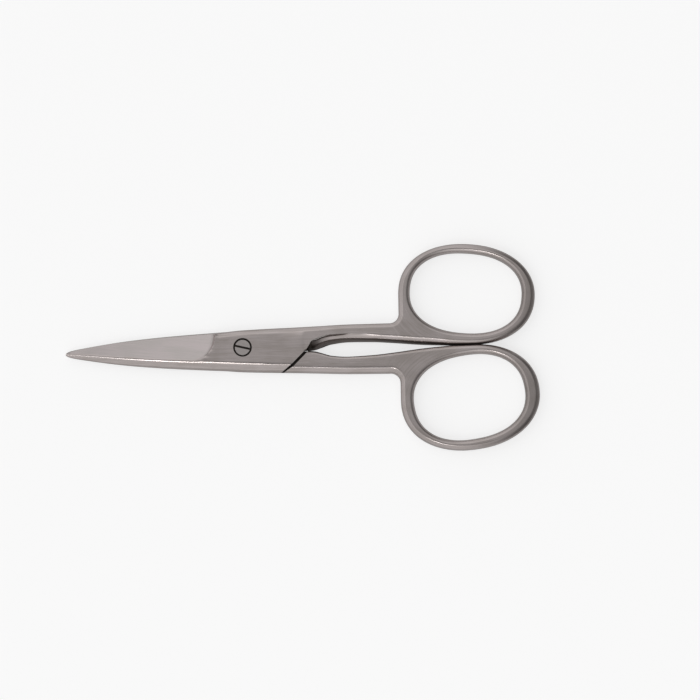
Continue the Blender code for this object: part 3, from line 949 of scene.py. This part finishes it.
def round_the_rings(graph, place):
    """A place as length round the nearer ring, distance out from its middle and height, in metres,
    a mask that is 1 at the rings, and one that is 1 at their far ends, where a shade is painted."""
    x, y, z = graph.parts(place)
    along = graph.math("SUBTRACT", x, ring_middle[0])
    across = graph.math("SUBTRACT", graph.math("ABSOLUTE", y), ring_middle[1])
    across = graph.math("MULTIPLY", across, ring_squash)
    squares = [graph.math("MULTIPLY", leg, leg) for leg in (along, across)]
    out = graph.math("SQRT", graph.math("ADD", *squares))
    angle = graph.math("ABSOLUTE", graph.math("ARCTAN2", across, along))
    length = graph.math("ADD", graph.math("MULTIPLY", angle, ring_middle[1]), y)
    ringed = graph.add("ShaderNodeCombineXYZ", {0: length, 1: out, 2: z}).outputs[0]
    at_ring = graph.step(x, ring_grain_start, ring_grain_end)
    endwise = graph.math("DIVIDE", along, out)
    endwise = graph.math("MULTIPLY", endwise, endwise)
    painted_shade_at_ends = graph.math("MULTIPLY", graph.step(x, ring_shade_start, ring_shade_end), endwise)
    return ringed, at_ring, painted_shade_at_ends


def edge_mask(graph):
    """1 on worn corners: where a bevelled normal parts from the true one."""
    bevelled = graph.add("ShaderNodeBevel", {"Radius": wear_radius}, samples=wear_samples).outputs[0]
    true_normal = graph.add("ShaderNodeNewGeometry", {}).outputs["Normal"]
    agreement = graph.vector("DOT_PRODUCT", bevelled, true_normal)["Value"]
    return graph.step(graph.math("SUBTRACT", 1.0, agreement), 0.0, wear_turn)


def soil_and_shade_mask(graph, place, normal, spot):
    """The spot's strength on its slopes, where soil and painted shade lie, and 0 on the flats and farther
    off.
    """
    away = graph.vector("SUBTRACT", place, spot["place"])["Vector"]
    away = graph.vector("DIVIDE", away, spot["reach"])["Vector"]
    near = graph.step(graph.vector("LENGTH", away)["Value"], 1.0, spot["core"])
    upward = graph.math("ABSOLUTE", graph.parts(normal)["Z"])
    slope = graph.step(upward, spot["flat"], spot["steep"])
    return graph.math("MULTIPLY", graph.math("MULTIPLY", near, slope), spot["strength"])


def steel(name, finish):
    """Satin steel: fine streaks along the blade and round the rings, a broad unevenness in colour
    and gloss, a polish on the edges, a painted shade at the rings' far ends, and soil and painted shade
    in the corners."""
    material = bpy.data.materials.new(name)
    graph = Graph(material)
    coordinate = graph.add("ShaderNodeTexCoord", {}).outputs
    place = coordinate["Object"]
    turn = (0.0, 0.0, finish["turn"])
    straight = graph.add("ShaderNodeMapping", {"Vector": place, "Rotation": turn}).outputs[0]
    ringed, at_ring, painted_shade_at_ends = round_the_rings(graph, place)
    streaks = graph.mix(at_ring, *[graph.noise(grain, streak_size, streak_detail, streak_gain)
                                   for grain in (straight, ringed)])
    broad = graph.mix(at_ring, *[graph.noise(grain, broad_size, broad_detail, broad_gain)
                                 for grain in (straight, ringed)])
    uneven = graph.mix(cloud_share, broad, graph.noise(place, cloud_size, broad_detail, broad_gain))
    edges = edge_mask(graph)
    soil_and_shade = 0.0
    for spot in (crotch_soil_and_shade, corner_painted_shade, lens_painted_shade):
        soil_and_shade = graph.math("MAXIMUM", soil_and_shade, soil_and_shade_mask(graph, place, coordinate["Normal"], spot))

    mottle = graph.step(graph.mix(streak_share, uneven, streaks), mottle_low, mottle_high)
    colour = graph.mix_colours(mottle, finish["low"], finish["high"])
    # Painted shade: the rings' far ends are darkened towards ring_end_painted_shade_colour
    colour = graph.mix_colours(graph.math("MULTIPLY", painted_shade_at_ends, ring_shade), colour, ring_end_painted_shade_colour)
    colour = graph.mix_colours(edges, colour, finish["edge"])
    # Soil and painted shade in the crotch, painted shade at the slit's corner and on the walls along the
    # shanks' gap
    colour = graph.mix_colours(soil_and_shade, colour, soil_and_shade_colour)

    spread = finish["spread"]
    rough = graph.mix(streaks, finish["roughness"] - spread, finish["roughness"] + spread)
    duller = graph.math("ADD", rough, spread / 2)
    rough = graph.mix(graph.step(uneven, gloss_low, gloss_high), rough, duller)
    rough = graph.math("SUBTRACT", rough, graph.math("MULTIPLY", edges, wear_polish))
    rough = graph.math("ADD", rough, graph.math("MULTIPLY", at_ring, ring_satin))
    rough = graph.mix(soil_and_shade, rough, soil_and_shade_roughness)

    normal = graph.bump(streaks, finish["grain"])
    normal = graph.bump(broad, finish["wave"], normal)
    graph.connect(graph.nodes["Principled BSDF"],
                  {"Base Color": colour, "Metallic": 1.0, "Roughness": rough, "Normal": normal})
    return material


def set_materials(obj, materials):
    for material in materials:
        obj.data.materials.append(material)


def make_camera():
    """A camera on the photograph's line of sight, turned by its tilt and its roll."""
    back = Vector((0.0, -math.sin(camera_tilt), math.cos(camera_tilt)))
    level_up = Vector((0.0, math.cos(camera_tilt), math.sin(camera_tilt)))
    east = Vector((1.0, 0.0, 0.0))
    right = east * math.cos(camera_roll) - level_up * math.sin(camera_roll)
    up = east * math.sin(camera_roll) + level_up * math.cos(camera_roll)
    data = bpy.data.cameras.new("camera")
    data.sensor_width = sensor_width
    data.lens = sensor_width * camera_distance / view_width
    data.clip_start, data.clip_end = clip_near, clip_far
    camera = bpy.data.objects.new("camera", data)
    bpy.context.scene.collection.objects.link(camera)
    place = Vector(camera_target) + back * camera_distance
    camera.matrix_world = Matrix.Translation(place) @ Matrix((right, up, back)).transposed().to_4x4()
    bpy.context.scene.camera = camera


def make_world():
    """A white tent: dim round the camera's port overhead, and with a dark opening to the right."""
    world = bpy.data.worlds.new("studio")
    bpy.context.scene.world = world
    graph = Graph(world)
    direction = graph.add("ShaderNodeTexCoord", {}).outputs["Generated"]
    port = (0.0, -math.sin(port_lean), math.cos(port_lean))
    overhead = graph.greys(graph.vector("DOT_PRODUCT", direction, port)["Value"], overhead_shares)
    opening = graph.greys(graph.parts(direction)["X"], opening_shares)
    light = graph.mix_colours(1.0, overhead, opening, "MULTIPLY")
    graph.connect(graph.nodes["Background"], {"Color": light})


def make_table():
    """A white table: it keeps the shadow, and a little glow brings it up to white."""
    bpy.ops.mesh.primitive_plane_add(size=table_size)
    table = bpy.context.object
    table.name = "floor"
    material = bpy.data.materials.new("floor_white")
    graph = Graph(material)
    path = graph.add("ShaderNodeLightPath", {}).outputs
    reflected = graph.math("MAXIMUM", path["Is Glossy Ray"], path["Is Transmission Ray"])
    reflected = graph.math("MULTIPLY", reflected, reflected_share)
    seen = graph.math("MAXIMUM", path["Is Camera Ray"], reflected)
    glow = graph.math("MULTIPLY", seen, table_glow)
    graph.connect(graph.nodes["Principled BSDF"],
                  {"Base Color": table_colour, "Roughness": 1.0, "Specular IOR Level": 0.0,
                   "Emission Color": glow_colour, "Emission Strength": glow})
    table.data.materials.append(material)


def make_lamp(name, place, size, power):
    """A soft rectangular lamp that faces the scissors."""
    data = bpy.data.lights.new(name, "AREA")
    data.shape = "RECTANGLE"
    data.size, data.size_y = size
    data.energy = power
    lamp = bpy.data.objects.new(name, data)
    bpy.context.scene.collection.objects.link(lamp)
    lamp.location = place
    lamp.rotation_euler = Vector(place).to_track_quat("Z", "Y").to_euler()


bpy.context.scene.view_settings.view_transform = "Standard"

satin = steel("satin_steel", satin_finish)
ground = steel("ground_steel", ground_finish)
hollow = steel("hollow_steel", hollow_finish)
plain = steel("screw_steel", screw_finish)
# Near-black soil and painted shade for the gaps, the bores and the screw's slot
soil_and_shade_metal = steel("soil_and_shade_steel", soil_and_shade_finish)

screw_bore = (screw_radius + running_gap, -overrun)
counterbore = (head_radius + head_gap, thickness - head_height - head_under_gap)
thread_bore = (screw_radius + thread_gap, -overrun)
finishes = (satin, ground, hollow, soil_and_shade_metal)
front = make_half("front_half_fine", Plan(1, front_ring), [screw_bore, counterbore], finishes)
rear = make_half("rear_half_fine", Plan(-1, rear_ring), [thread_bore], finishes)
screw = make_screw("pivot_screw_fine", (plain, soil_and_shade_metal))
for piece, body, node, slot in ((front, "front", "front_half", "satin_steel"),
                                (rear, "rear", "rear_half", "satin_steel"),
                                (screw, "rear", "pivot_screw", "screw_steel")):
    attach(piece, body)
    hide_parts(node)

make_camera()
make_world()
make_table()
make_lamp("strip", strip_place, strip_size, strip_power)
